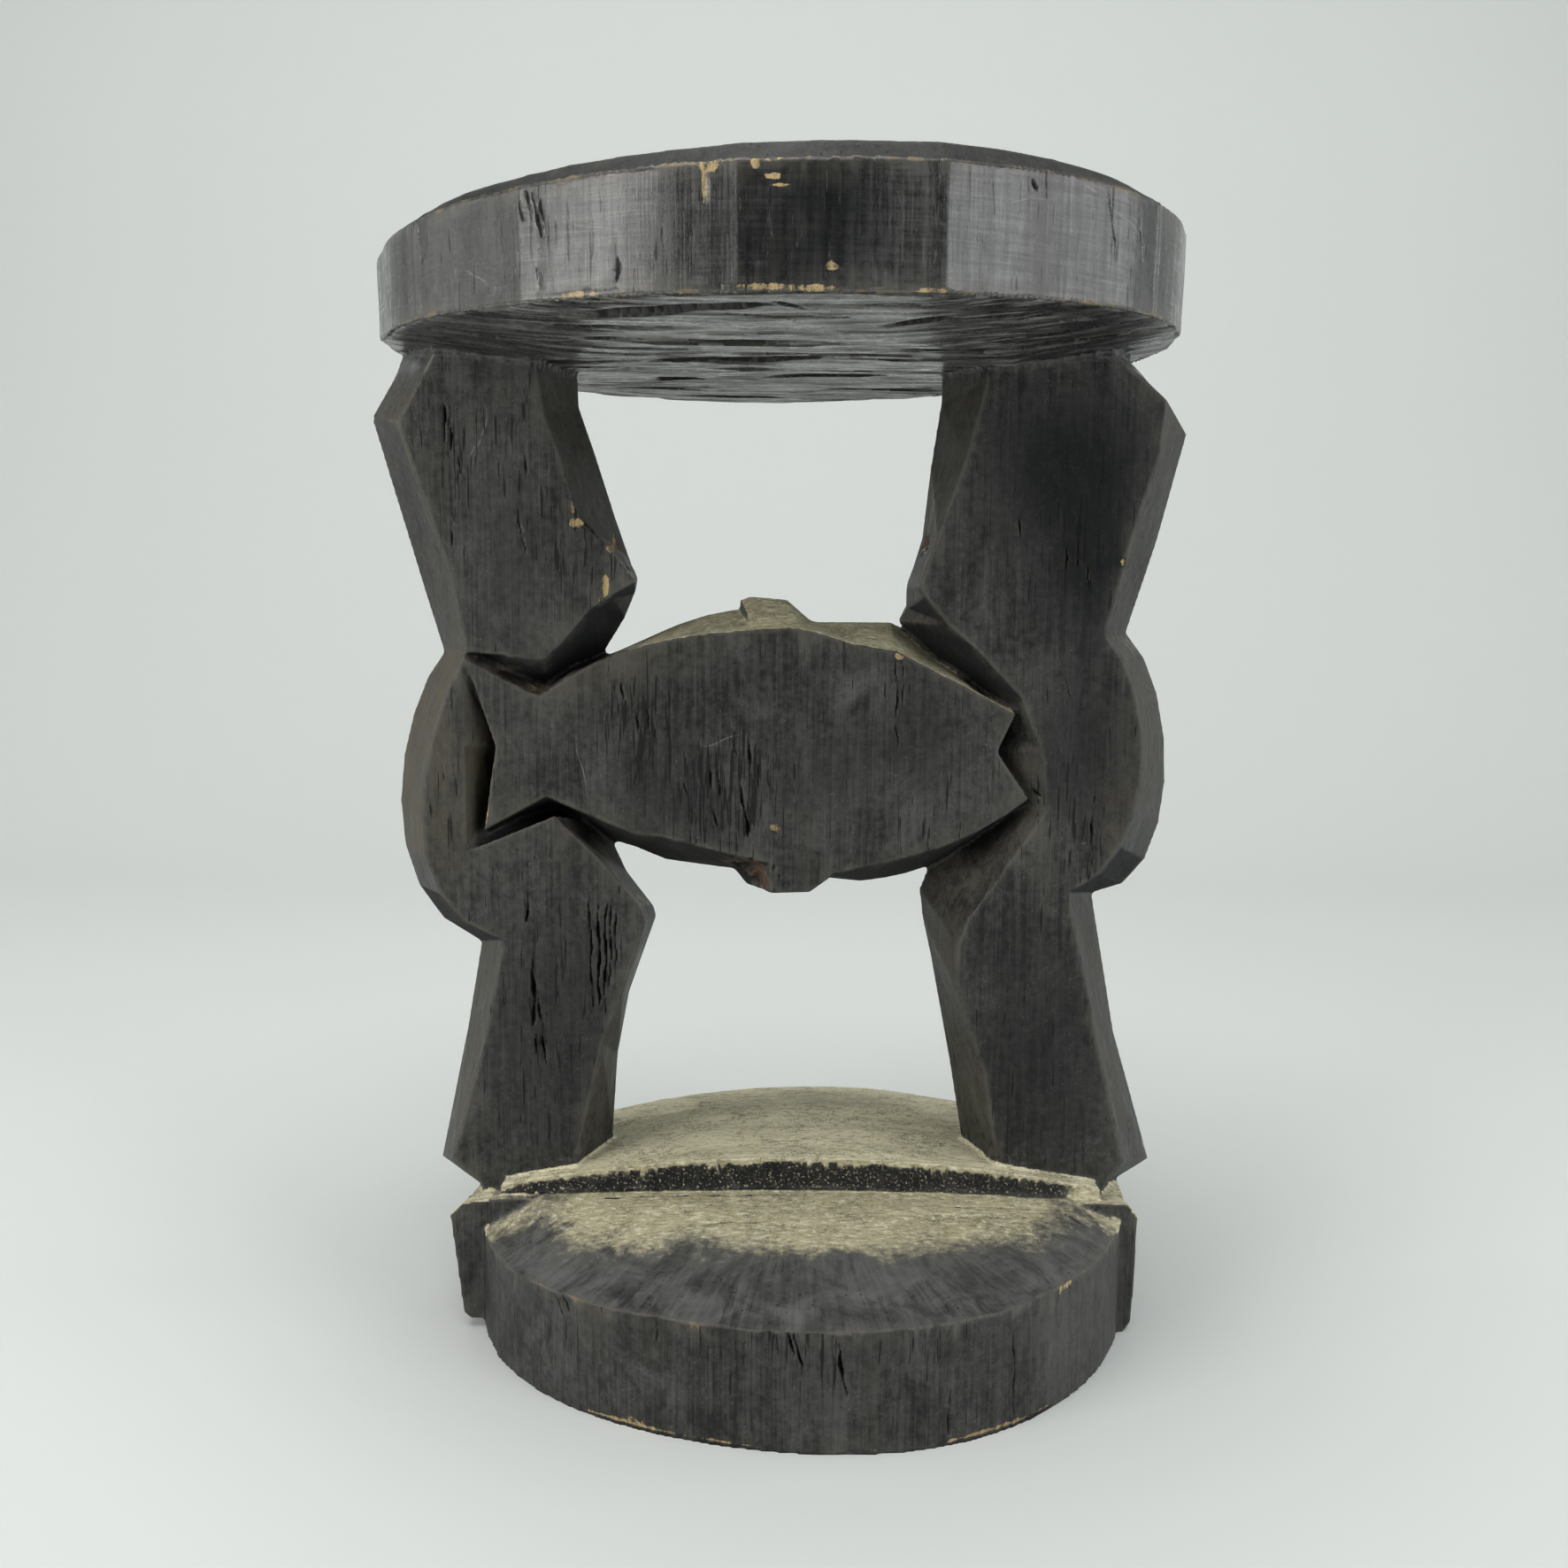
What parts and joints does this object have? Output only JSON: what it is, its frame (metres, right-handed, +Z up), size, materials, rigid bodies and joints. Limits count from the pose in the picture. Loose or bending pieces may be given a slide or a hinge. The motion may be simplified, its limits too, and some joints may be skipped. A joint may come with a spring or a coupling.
{
  "type": "carved stool",
  "caption": "Round carved wooden stool: a disc seat on two angular uprights that hold a fish between them, on a round domed foot with a square tab at each side.",
  "frame": {"origin": "centre of the foot's underside", "axes": "+Z up from the foot to the seat, +X along the fish from its tail to its mouth, -Y the side that faces the viewer"},
  "size_m": [0.3089, 0.2999, 0.4117],
  "materials": {
    "wood": "blackened, worn satin, hand carved"
  },
  "bodies": {
    "root": {"carved_stool": "wood"}
  },
  "joints": []
}
